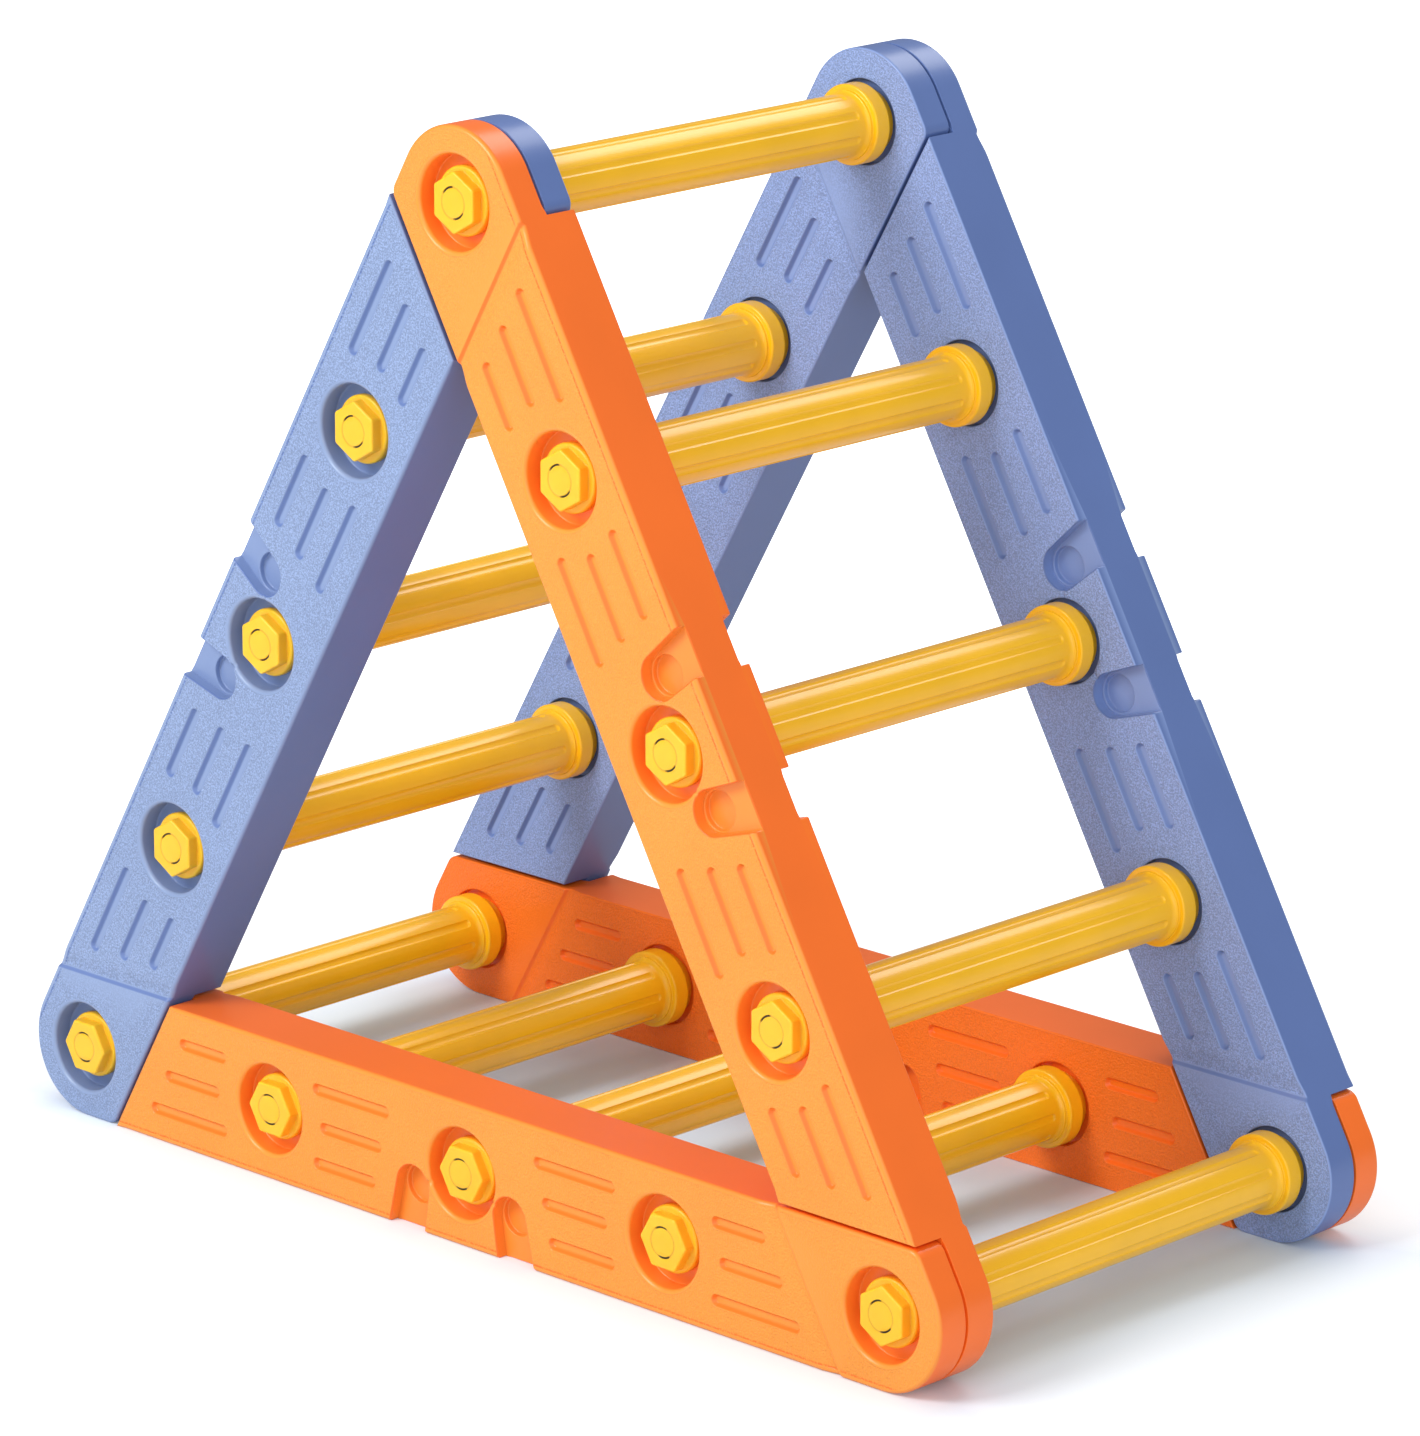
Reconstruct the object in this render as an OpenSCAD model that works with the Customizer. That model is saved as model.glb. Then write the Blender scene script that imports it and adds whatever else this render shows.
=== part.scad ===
// A triangular climbing frame for small children: two bolted triangles of moulded rails,
// twelve fluted rungs between them, and one hex-head bolt in each end of every rung.
// X runs along the base, Y from the front frame to the rear frame, Z is up, and the frame
// stands on the floor at the origin. All sizes are in millimetres.

/* [Frame] */
// From a corner bolt's axis to the nearest rung's axis, along a rail
corner_step = 151.5; // [140:0.5:240]
// From the middle rung's axis to the next rung's axis, along a rail
rung_step = 148.5; // [140:0.5:240]
// Depth over the outer faces of the two side frames
frame_d = 345; // [260:5:700]

/* [Rails] */
// Width of a rail, across its face
rail_w = 80; // [76:1:110]
// Thickness of a rail, from its outer face to its inner face
rail_t = 40; // [34:1:60]
// Wall of the hollow moulding
rail_wall = 3; // [2:0.25:4]
// Chamfer along every long edge of a rail, in place of its rounding
edge_c = 2; // [0.5:0.25:4]
// Rounding of a lap end's inner corner
toe_r = 8; // [5:0.5:12]
// Gap between a rail's shoulder and the rail that crosses in front of it
shoulder_gap = 2; // [0.5:0.25:4]
// Width of the seam line moulded in the face over each shoulder
seam_w = 1.6; // [0.8:0.2:3]
// Depth of that seam line
seam_depth = 0.8; // [0.4:0.1:1.5]
// From the hidden shoulder to the seam line over it
seam_offset = 1.3; // [0:0.1:3]

/* [Slots] */
// Width of a slot pressed into a rail's face
slot_w = 8; // [5:0.5:12]
// Depth of a slot
slot_depth = 2; // [1:0.25:3]
// From one row of slots to the next, across the rail
slot_row_step = 21; // [16:0.5:24]
// Shift of the rows towards the rail's outer edge
slot_row_shift = 0.5; // [0:0.25:2]
// From the seam line to the slots' ends
slot_seam_gap = 17; // [10:0.5:22]
// From a bolt's axis to the ends of the two outer rows
slot_hole_gap = 34; // [30:0.5:38]
// From a bolt's axis to the ends of the middle row
slot_hole_gap_middle = 39.5; // [32:0.5:44]
// From the middle bolt's axis to the end of the row by the outer edge
slot_reach_high = 64; // [60:0.5:80]
// From the middle bolt's axis to the end of the middle row
slot_reach_middle = 59; // [55:0.5:80]
// From the middle bolt's axis to the end of the row by the inner edge
slot_reach_low = 53; // [45:0.5:80]

/* [Pockets] */
// Depth of the pockets beside the middle bolt
pocket_depth = 6.5; // [2:0.25:8]
// Radius of a pocket's round end
pocket_r = 12; // [8:0.5:14]
// Width of a pocket where it opens through the rail's outer edge
pocket_mouth_w = 26.5; // [18:0.5:32]
// From the middle bolt's axis to the middle of a pocket's mouth
pocket_mouth_x = 41.3; // [38:0.1:60]
// From the middle bolt's axis to a pocket's round end, along the rail
pocket_end_x = 36.5; // [34:0.1:56]
// From the rail's centreline to the centre of a pocket's round end
pocket_end_y = 16; // [10:0.5:20]
// Radius of the dimple in a pocket's floor
dimple_r = 10.5; // [5:0.5:13]
// Depth of that dimple
dimple_depth = 3.25; // [0.5:0.25:5]

/* [Bolts] */
// Width of the hexagon across its flats
hex_af = 28.3; // [20:0.1:34]
// Height of the hexagon over its flange
hex_h = 6.5; // [4:0.25:7]
// Diameter of the flange under the hexagon
flange_od = 36.7; // [35:0.1:44]
// Thickness of the flange
flange_t = 5; // [3:0.25:5.5]
// Chamfer round the flange's front edge
flange_chamfer = 1; // [0.5:0.25:2]
// Gap all round between the flange and the rail's recess that it sits in
flange_gap = 6.65; // [2:0.05:8]
// Diameter of the shank
shank_d = 16; // [10:0.5:20]
// Length of shank that screws into the rung
shank_grip = 30; // [15:1:45]
// Radial clearance of the shank in the rail
bolt_clear = 0.4; // [0.2:0.1:1]
// Radial clearance of the shank in the rung
thread_clear = 0.15; // [0.05:0.05:0.3]
// Diameter of the round mark on the hexagon
mark_d = 17.6; // [10:0.1:19]
// Width of the groove round that mark
mark_w = 0.7; // [0.4:0.1:1.5]
// Depth of that groove
mark_depth = 0.5; // [0.2:0.1:1]

/* [Rungs] */
// Diameter of a rung's barrel
rung_od = 34.5; // [30:0.5:38]
// Wall of the barrel, under the flutes
rung_wall = 3; // [2:0.25:4]
// Number of flutes round the barrel
flute_count = 8; // [4:1:12]
// Width of a flute
flute_w = 5; // [3:0.25:7]
// Depth of a flute
flute_depth = 1; // [0.5:0.25:1.5]
// From a flute's end to the lip at the collar
flute_gap = 5; // [3:0.5:20]
// Diameter of the collar at each end
collar_od = 44; // [43:0.1:50]
// Length of a collar
collar_l = 10; // [6:0.5:15]
// Gap between a collar's back and the rail's inner face
collar_stand = 2.4; // [0.4:0.1:4]
// Chamfer round the collar's front edge
collar_chamfer = 1.2; // [0.5:0.1:2]
// Diameter of the neck that runs from a collar to the floor of the rail's recess
neck_od = 36; // [30:0.5:40]
// Diameter of the lip between the collar and the barrel
lip_od = 38; // [36:0.1:39]
// Length of that lip
lip_l = 2; // [1:0.25:4]
// Length of the cone from the lip down to the barrel
root_l = 2.5; // [0.5:0.25:3]
// Depth left beyond the bolt's tip in a rung's socket
tip_room = 3; // [1:0.5:8]

/* [Hidden] */
$fn = 64;
// Angle between two rails of a triangle
corner_angle = 60;
// How far a cut runs past the surface that it opens
overrun = 5;
// How far a lap end's flank lies inside the rounds that it runs into
flank_inset = 0.1;
BLUE = "#8396cf";
ORANGE = "#ff9348";
YELLOW = "#ffd232";
GOLD = "#ebaf28";
// Turns that put a hexagon's flat or its corner at its side
FLAT = 30;
CORNER = 0;

side_l = 2 * (corner_step + rung_step);
mid_x = side_l / 2;
rail_half = rail_w / 2;
lap_t = rail_t / 2;
frame_h = side_l * sin(corner_angle);
recess_r = flange_od / 2 + flange_gap;
recess_depth = hex_h + flange_t;
bore_r = shank_d / 2 + bolt_clear;
web_t = rail_t - 2 * recess_depth;
shoulder_d = rail_half + shoulder_gap;
seam_d = shoulder_d + seam_offset;
skin_t = rail_wall + slot_depth;
rung_l = frame_d - 2 * rail_t + 2 * recess_depth;
// From the lap's inner corner to the centre of its rounding
toe_x = (rail_half - toe_r) * tan(corner_angle / 2);
// How far the flank runs on into each of its rounds
flank_lead = sqrt(2 * toe_r * flank_inset) / 2;
hole_xs = [corner_step, mid_x, side_l - corner_step];

// One entry per rail: name, turn about Y, colour in front, colour at the rear
RAILS = [
  ["right_rail", 60, ORANGE, BLUE],
  ["base_rail", 180, ORANGE, ORANGE],
  ["left_rail", 300, BLUE, BLUE]
];
// The corners that the three rails start from, in the same order
CORNERS = [
  [0, frame_h + rail_half],
  [mid_x, rail_half],
  [-mid_x, rail_half]
];
// One entry per rung: name, rail, distance along that rail, turn of its bolts' hexagons and
// turn of its flutes
RUNGS = [
  ["apex_rung", 0, 0, FLAT, 28],
  ["right_rung_upper", 0, hole_xs[0], FLAT, 29],
  ["right_rung_middle", 0, hole_xs[1], FLAT, 29],
  ["right_rung_lower", 0, hole_xs[2], FLAT, 32],
  ["right_corner_rung", 1, 0, FLAT, 26],
  ["base_rung_right", 1, hole_xs[0], CORNER, 4],
  ["base_rung_middle", 1, hole_xs[1], CORNER, 4],
  ["base_rung_left", 1, hole_xs[2], CORNER, 4],
  ["left_corner_rung", 2, 0, CORNER, -6],
  ["left_rung_lower", 2, hole_xs[0], FLAT, 3],
  ["left_rung_middle", 2, hole_xs[1], FLAT, 8],
  ["left_rung_upper", 2, hole_xs[2], FLAT, 13]
];

// Where a rung crosses the XZ plane
function rung_at(r) =
  let (a = RAILS[r[1]][1])
  [CORNERS[r[1]][0] + r[2] * cos(a), CORNERS[r[1]][1] - r[2] * sin(a)];

// A rail's own frame: x runs along it from the axis of its outer lap to the axis of its
// inner lap, y across it to the outside of the triangle, and z out of its outer face.

// x on a line parallel to the shoulder, at distance d from the corner's axis and height y
function slant_x(d, y) = (d - y * cos(corner_angle)) / sin(corner_angle);

// A rail is the same after a half turn about its y axis, which swaps the ends and the faces
module both_ends() {
  children();
  translate([side_l, 0, -rail_t]) rotate([0, 180, 0]) children();
}

// The pattern on one face is the same to both sides of the middle bolt
module both_halves() {
  children();
  translate([side_l, 0, 0]) mirror([1, 0, 0]) children();
}

// Section through half a rail, from its middle out to a chamfered edge
module edge_section(reach) {
  polygon([
    [0, -rail_t], [reach - edge_c, -rail_t], [reach, edge_c - rail_t],
    [reach, -edge_c], [reach - edge_c, 0], [0, 0]
  ]);
}

// A straight stretch with one chamfered edge, to the left of the direction it runs in
module edge_bar(length, reach) {
  rotate([90, 0, 90]) linear_extrude(length) edge_section(reach);
}

// Round end, the straight flank that lines up with the neighbour's edge, and the inner corner,
// whose wedges run a little into the flank
module rail_end() {
  more = corner_angle / 4;
  rotate([0, 0, 90]) rotate_extrude(angle = 2 * corner_angle + more) edge_section(rail_half);
  mirror([1, 0, 0])
    rotate([0, 0, -2 * corner_angle])
      translate([-flank_lead, 0, 0])
        edge_bar(toe_x + 2 * flank_lead, rail_half - flank_inset);
  translate([-toe_x, toe_r - rail_half, 0])
    mirror([1, 0, 0])
      rotate([0, 0, -90])
        rotate_extrude(angle = corner_angle + more) edge_section(toe_r);
}

module rail_blank() {
  edge_bar(side_l, rail_half);
  translate([-toe_x, 0, 0]) mirror([0, 1, 0]) edge_bar(side_l + 2 * toe_x, rail_half);
  both_ends() rail_end();
}

// Takes away the inner half of the thickness, from the shoulder out to the rail's end
module lap_cut() {
  cut_l = shoulder_d + rail_w;
  rotate([0, 0, corner_angle / 2])
    translate([shoulder_d - cut_l, -rail_w, -rail_t - overrun])
      cube([cut_l, 2 * rail_w, lap_t + overrun]);
}

module seam_line() {
  rotate([0, 0, corner_angle / 2])
    translate([seam_d - seam_w / 2, -rail_w, -seam_depth])
      cube([seam_w, 2 * rail_w, seam_depth + overrun]);
}

// A round-ended slot from x0 to x1
module slot(x0, x1, y) {
  for (x = [x0 + slot_w / 2, x1 - slot_w / 2])
    translate([x, y, -slot_depth]) cylinder(d = slot_w, h = slot_depth + overrun);
  translate([x0 + slot_w / 2, y - slot_w / 2, -slot_depth])
    cube([x1 - x0 - slot_w, slot_w, slot_depth + overrun]);
}

// Three staggered slots to each side of the first rung's bolt
module slots() {
  reaches = [slot_reach_low, slot_reach_middle, slot_reach_high];
  gaps = [slot_hole_gap, slot_hole_gap_middle, slot_hole_gap];
  for (row = [0:2]) {
    y = slot_row_shift + (row - 1) * slot_row_step;
    slot(slant_x(seam_d, y) + slot_seam_gap, corner_step - gaps[row], y);
    slot(corner_step + gaps[row], mid_x - reaches[row], y);
  }
}

// A pocket that leans outwards from its round end and opens through the rail's outer edge
module pocket() {
  end = [mid_x - pocket_end_x, pocket_end_y];
  lean = atan2(pocket_mouth_x - pocket_end_x, rail_half - pocket_end_y);
  mouth_x = mid_x - pocket_mouth_x;
  side = pocket_r * [cos(lean), sin(lean)];
  top = rail_half + overrun;
  translate([0, 0, -pocket_depth]) {
    translate(end) cylinder(r = pocket_r, h = pocket_depth + overrun);
    linear_extrude(pocket_depth + overrun)
      polygon([
        end - side, end + side,
        [mouth_x + pocket_mouth_w / 2, rail_half], [mouth_x + pocket_mouth_w / 2, top],
        [mouth_x - pocket_mouth_w / 2, top], [mouth_x - pocket_mouth_w / 2, rail_half]
      ]);
  }
  translate([end[0], end[1], -pocket_depth - dimple_depth])
    cylinder(r = dimple_r, h = dimple_depth + overrun);
}

module recess(x) {
  translate([x, 0, -recess_depth]) cylinder(r = recess_r, h = recess_depth + overrun);
}

// Material left standing in the hollow round a bolt hole
module bolt_post(x) {
  cup = recess_depth + rail_wall;
  for (z = [-cup, -rail_t]) translate([x, 0, z]) cylinder(r = recess_r + rail_wall, h = cup);
  translate([x, 0, -rail_t]) cylinder(r = bore_r + rail_wall, h = rail_t);
}

// Material left standing in the hollow behind a pocket
module pocket_back() {
  back = pocket_depth + dimple_depth + rail_wall;
  low = pocket_end_y - pocket_r - rail_wall;
  left = mid_x - pocket_mouth_x - pocket_mouth_w / 2 - rail_wall;
  right = mid_x - pocket_end_x + pocket_r + rail_wall;
  translate([left, low, -back]) cube([right - left, rail_half - low, back]);
}

// The sealed hollow between the two shoulders
module hollow() {
  y = rail_half - rail_wall;
  d = shoulder_d + rail_wall;
  difference() {
    translate([0, 0, skin_t - rail_t])
      linear_extrude(rail_t - 2 * skin_t)
        polygon([
          [slant_x(d, y), y], [slant_x(d, -y), -y],
          [side_l - slant_x(d, -y), -y], [side_l - slant_x(d, y), y]
        ]);
    for (x = hole_xs) bolt_post(x);
    both_ends() both_halves() pocket_back();
  }
}

module rail() {
  difference() {
    rail_blank();
    both_ends() {
      lap_cut();
      seam_line();
      recess(0);
      recess(mid_x);
      both_halves() {
        slots();
        pocket();
        recess(corner_step);
      }
    }
    for (x = concat([0, side_l], hole_xs))
      translate([x, 0, -rail_t - overrun]) cylinder(r = bore_r, h = rail_t + 2 * overrun);
    hollow();
  }
}

// Half of a rung's outline from its middle to one end, as radius against length
module rung_half_section() {
  end = rung_l / 2;
  back = end - recess_depth - collar_stand;
  face = back - collar_l;
  r = rung_od / 2;
  polygon([
    [0, 0], [r, 0], [r, face - lip_l - root_l],
    [lip_od / 2, face - lip_l], [lip_od / 2, face],
    [collar_od / 2 - collar_chamfer, face], [collar_od / 2, face + collar_chamfer],
    [collar_od / 2, back], [neck_od / 2, back], [neck_od / 2, end], [0, end]
  ]);
}

// One flute, a flat-bottomed groove with round ends along the top of the barrel
module flute() {
  face = rung_l / 2 - recess_depth - collar_stand - collar_l;
  reach = face - lip_l - flute_gap - flute_w / 2;
  translate([-flute_w / 2, rung_od / 2 - flute_depth, -reach])
    cube([flute_w, overrun, 2 * reach]);
  for (z = [-reach, reach])
    translate([0, rung_od / 2 - flute_depth, z]) rotate([-90, 0, 0]) cylinder(d = flute_w, h = overrun);
}

module rung(turn) {
  socket_depth = shank_grip + tip_room;
  tube_l = rung_l - 2 * (socket_depth + rung_wall);
  color(GOLD)
    rotate([90, 0, 0])
      difference() {
        for (flip = [0, 1]) mirror([0, 0, flip]) rotate_extrude() rung_half_section();
        for (k = [0:flute_count - 1]) rotate([0, 0, turn + 360 * k / flute_count]) flute();
        translate([0, 0, -tube_l / 2])
          cylinder(r = rung_od / 2 - flute_depth - rung_wall, h = tube_l);
        for (flip = [0, 1])
          mirror([0, 0, flip])
            translate([0, 0, rung_l / 2 - socket_depth])
              cylinder(r = shank_d / 2 + thread_clear, h = socket_depth + overrun);
      }
}

// A bolt whose hexagon's face is flush with the front frame's outer face
module bolt(turn) {
  flange_r = flange_od / 2;
  mark_r = mark_d / 2;
  color(YELLOW)
    translate([0, -frame_d / 2, 0])
      rotate([90, 0, 0]) {
        difference() {
          rotate([0, 0, turn])
            translate([0, 0, -recess_depth])
              cylinder(r = hex_af / 2 / cos(30), h = recess_depth, $fn = 6);
          translate([0, 0, -mark_depth])
            difference() {
              cylinder(r = mark_r, h = overrun);
              cylinder(r = mark_r - mark_w, h = overrun);
            }
        }
        translate([0, 0, -hex_h - flange_t]) cylinder(r = flange_r, h = flange_t - flange_chamfer);
        translate([0, 0, -hex_h - flange_chamfer])
          cylinder(r1 = flange_r, r2 = flange_r - flange_chamfer, h = flange_chamfer);
        translate([0, 0, -recess_depth - web_t - shank_grip])
          cylinder(r = shank_d / 2, h = web_t + shank_grip);
      }
}

// Puts a rail's own frame into its place in the front triangle
module front_place(k) {
  translate([CORNERS[k][0], -frame_d / 2, CORNERS[k][1]])
    rotate([0, RAILS[k][1], 0])
      rotate([90, 0, 0])
        children();
}

module rung_place(r) {
  p = rung_at(r);
  translate([p[0], 0, p[1]]) children();
}

for (k = [0:len(RAILS) - 1]) {
  r = RAILS[k];
  color(r[2]) front_place(k) rail();
  color(r[3]) mirror([0, 1, 0]) front_place(k) rail();
}
for (r = RUNGS) {
  rung_place(r) rung(r[4]);
  rung_place(r) bolt(r[3]);
  rung_place(r) mirror([0, 1, 0]) bolt(r[3]);
}
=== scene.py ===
"""A child's triangular climbing frame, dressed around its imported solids.

Six moulded rails, twelve grip rungs and twenty-four hex-head bolts, each a surface worked out
from the frame's own sizes in millimetres, then turned into metres.
"""
import math

import bpy
import numpy as np
from mathutils import Matrix, Vector
from mathutils.geometry import delaunay_2d_cdt


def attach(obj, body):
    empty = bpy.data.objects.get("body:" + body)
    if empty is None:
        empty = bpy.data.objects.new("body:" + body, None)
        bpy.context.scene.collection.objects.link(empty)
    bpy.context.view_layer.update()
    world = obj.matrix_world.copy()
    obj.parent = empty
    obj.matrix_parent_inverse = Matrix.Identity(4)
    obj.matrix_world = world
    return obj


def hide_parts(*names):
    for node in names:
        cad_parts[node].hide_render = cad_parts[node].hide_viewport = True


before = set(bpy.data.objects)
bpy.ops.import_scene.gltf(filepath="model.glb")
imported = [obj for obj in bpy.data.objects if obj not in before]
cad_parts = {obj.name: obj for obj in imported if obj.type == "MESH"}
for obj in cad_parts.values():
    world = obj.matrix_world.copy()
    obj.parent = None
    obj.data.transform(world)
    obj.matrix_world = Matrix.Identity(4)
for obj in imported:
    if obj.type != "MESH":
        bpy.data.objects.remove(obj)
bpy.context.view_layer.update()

# The side frames
CORNER_STEP = 151.5
RUNG_STEP = 148.5
SIDE = 2 * (CORNER_STEP + RUNG_STEP)
MID = SIDE / 2
DEPTH = 345.0
SIN_60, COS_60 = math.sin(math.radians(60)), math.cos(math.radians(60))
APEX_Z = SIDE * SIN_60

# A rail, across its face and through its thickness. Its long edges are rounder outside than inside
HALF_W = 40.0
THICK = 40.0
LAP = THICK / 2
EDGE_RS = (2.5, 1.2)
LAP_GAP = 0.9
LAP_GAP_DEEP = 3.0
LAP_EDGE_R = 0.35
LAP_BLEND = 6.0
SHOULDER_EDGE_R = 1.3
SHOULDER_BLEND = 8.0
TOE_R = 8.0
SHOULDER_D = 42.0
SEAM_D = 43.3
SEAM_HALF = 1.15
SEAM_DEEP = 1.6
SEAM_RAMP = 11.0
# painted shade: the share of grain, and so of paleness, taken off along the seam groove
SEAM_PAINTED_SHADE = 0.9
SADDLE_DEEP = 1.0
SADDLE_HALF = 1.4
SADDLE_FROM, SADDLE_TO = 22.0, 31.0

# Slots in a rail's face, and their grain at some distances in from their outline. The low grain on their
# walls darkens them, partly a smooth finish and partly painted shade
SLOT_HALF = 4.0
SLOT_DEEP = 2.7
SLOT_RUN = 2.6
SLOT_GRAIN_AT = (0, 0.5, 1.0, 2.0, 2.8)
SLOT_GRAINS = (1.0, 0.5, 0.12, 0.2, 0.5)
SLOT_ROWS = (-20.5, 0.5, 21.5)
SLOT_SEAM_GAP = 17.0
SLOT_BOLT_GAPS = (34.0, 39.5, 34.0)
SLOT_MID_REACHES = (54.0, 60.0, 65.0)

# Recesses and bolt holes, with the outer face's size before the inner one's
RECESS_RS = (25.0, 23.3)
RECESS_DEEPS = (11.5, 4.9)
RIM_RS = (2.6, 0.9)
RIM_R_BY_POCKET = 1.7
RIM_SPREAD = 9.0
FOOT_R = 0.9
BORE_R = 8.4

# Pockets beside the middle bolt
POCKET_DEEP = 6.5
POCKET_R = 12.0
POCKET_END = (36.5, 16.0)
POCKET_MOUTH = 41.3
POCKET_MOUTH_HALF = 13.25
POCKET_EDGE_R = 0.8
MOUTH_EDGE_R = 0.8
DIMPLE_R = 10.5
DIMPLE_DEEP = 3.25
DIMPLE_RIM_R = 0.7
DIMPLE_FOOT_R = 0.8

# Grain is 1 on the pebbled face. Smooth surfaces have less, down to 0 on the rail's sides. Grain also sets
# how pale the colour is, partly a painted sheen: the inner recess walls' 0 is painted shade, and the
# part-pale pocket floors and outer recess walls are a painted lift in their shade
PALE = 0.5
HALF_PALE = 0.25
FLOOR_GRAIN = 0.7 * PALE
WALL_GRAINS = (HALF_PALE, 0.0)

# Grip rungs
RUNG_R = 17.25
FLUTE_HALF = 2.5
FLUTE_DEEP = 1.0
FLUTE_TIP = 113.1
LIP_R = 19.0
COLLAR_R = 22.0
COLLAR_FRONT = 120.1
COLLAR_BACK = 130.1
NECK_R = 18.0
NECK_END = 137.3
SOCKET_R = 8.15
SOCKET_DEEP = 33.0
FLARE_R = 4.2
NUB_TURN = 98
NUB_HIGH = 0.7
NUB_SPREAD = (1.3, 1.7)
NUB_BACK = 2.6

# Bolts, with their own origin in the middle of the hexagon's face
HEX_AF = 28.3
HEX_DEEP = 6.5
FLANGE_R = 18.35
SHANK_R = 8.0
SHANK_END = 58.5
MARK_R = 8.8
MARK_DEEP = 0.1
NOTCH_DEEP = 0.6
HEX_CORNER_R = 2.0
HEX_EDGE_R = 1.1
HEX_FOOT_R = 0.4
FLANGE_EDGE_R = 1.5

# Every rail: name, turn about Y, where its outer lap's bolt is
RAILS = {
    "right_rail": (60.0, (0.0, APEX_Z + HALF_W)),
    "base_rail": (180.0, (MID, HALF_W)),
    "left_rail": (300.0, (-MID, HALF_W)),
}
# Every rung: rail, distance along it, then the turns of its flutes, its bolts' hexagons and their marks
HOLES = (CORNER_STEP, MID, SIDE - CORNER_STEP)
RUNGS = {
    "apex_rung": ("right_rail", 0.0, 28, 30, 120),
    "right_rung_upper": ("right_rail", HOLES[0], 29, 30, 121),
    "right_rung_middle": ("right_rail", HOLES[1], 29, 30, 121),
    "right_rung_lower": ("right_rail", HOLES[2], 32, 30, 124),
    "right_corner_rung": ("base_rail", 0.0, 26, 30, 117),
    "base_rung_right": ("base_rail", HOLES[0], 4, 0, 98),
    "base_rung_middle": ("base_rail", HOLES[1], 4, 0, 97),
    "base_rung_left": ("base_rail", HOLES[2], 4, 0, 93),
    "left_corner_rung": ("left_rail", 0.0, -6, 0, 93),
    "left_rung_lower": ("left_rail", HOLES[0], 3, 30, 119),
    "left_rung_middle": ("left_rail", HOLES[1], 8, 30, 119),
    "left_rung_upper": ("left_rail", HOLES[2], 13, 30, 119),
}


def linear(colour):
    """An sRGB hex colour as linear RGBA."""
    part = [int(colour[i:i + 2], 16) / 255 for i in (1, 3, 5)]
    return (*(v / 12.92 if v <= 0.04045 else ((v + 0.055) / 1.055) ** 2.4 for v in part), 1.0)


def rail_point(rail, along):
    """World X and Z, in millimetres, of the point at a distance along a rail's middle line."""
    turn, (x, z) = RAILS[rail]
    turn = math.radians(turn)
    return x + along * math.cos(turn), z - along * math.sin(turn)


# Surfaces
def cell(points):
    """The cell of a 0.0001 mm grid that each point falls in, shifted so that round sizes lie inside."""
    return np.floor(points / 1e-4 + 0.3137).astype(np.int64)


def real_faces(tris):
    """Which triangles have three different corners."""
    return (tris[:, 0] != tris[:, 1]) & (tris[:, 1] != tris[:, 2]) & (tris[:, 0] != tris[:, 2])


class Shell:
    """Patches of one closed skin. Each patch brings its points, its normals and its grain."""

    def __init__(self):
        self.points, self.normals, self.grain, self.faces, self.count = [], [], [], [], 0

    def add(self, points, normals, faces, grain=0.0):
        points = np.asarray(points, float).reshape(-1, 3)
        self.points.append(points)
        self.normals.append(np.broadcast_to(normals, points.shape))
        self.grain.append(np.broadcast_to(np.asarray(grain, float), (len(points),)))
        self.faces.append(np.asarray(faces, np.int64).reshape(-1, 3) + self.count)
        self.count += len(points)

    def grid(self, points, normals, grain=0.0):
        """A patch from an array of points (columns, rows): every cell becomes two triangles."""
        cols, rows = points.shape[:2]
        at = np.arange(cols * rows).reshape(cols, rows)
        a, b, c, d = at[:-1, :-1], at[1:, :-1], at[1:, 1:], at[:-1, 1:]
        faces = np.concatenate([np.stack(half, -1).reshape(-1, 3) for half in ([a, b, c], [a, c, d])])
        grain = np.broadcast_to(np.asarray(grain, float), (cols, rows)).reshape(-1)
        self.add(points, np.asarray(normals).reshape(-1, 3), faces, grain)

    def arrays(self):
        return (np.concatenate(self.points), np.concatenate(self.normals),
                np.concatenate(self.grain), np.concatenate(self.faces))


def sweep(shell, path, outward, offsets, heights, lean, grain=0.0, carry=None):
    """A profile carried along a path in the rail's face.

    At path point i and profile row j the surface is path_i + offset_ij * carry_i, at height_ij,
    and its normal is cos(lean_ij) up plus sin(lean_ij) along outward_i.
    """
    cols = len(path)
    offsets, heights, lean = (np.broadcast_to(np.asarray(v, float), (cols, np.shape(v)[-1]))
                              for v in (offsets, heights, lean))
    carry = outward if carry is None else carry
    flat = path[:, None, :] + offsets[..., None] * carry[:, None, :]
    points = np.concatenate([flat, heights[..., None]], -1)
    side = np.sin(lean)[..., None] * outward[:, None, :]
    shell.grid(points, np.concatenate([side, np.cos(lean)[..., None]], -1), grain)
    return points


def inside(points, loops):
    """Even-odd test: a point is inside if a level ray from it crosses the loops an odd number of times."""
    crossed = np.zeros(len(points), int)
    for loop in loops:
        a, b = loop, np.roll(loop, -1, 0)
        over = (a[:, 1][None] > points[:, 1][:, None]) != (b[:, 1][None] > points[:, 1][:, None])
        run = np.where(over, b[:, 1] - a[:, 1], 1.0)
        x = a[:, 0] + (points[:, 1][:, None] - a[:, 1]) * (b[:, 0] - a[:, 0]) / run
        crossed += (over & (points[:, 0][:, None] < x)).sum(1)
    return crossed % 2 == 1


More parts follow.
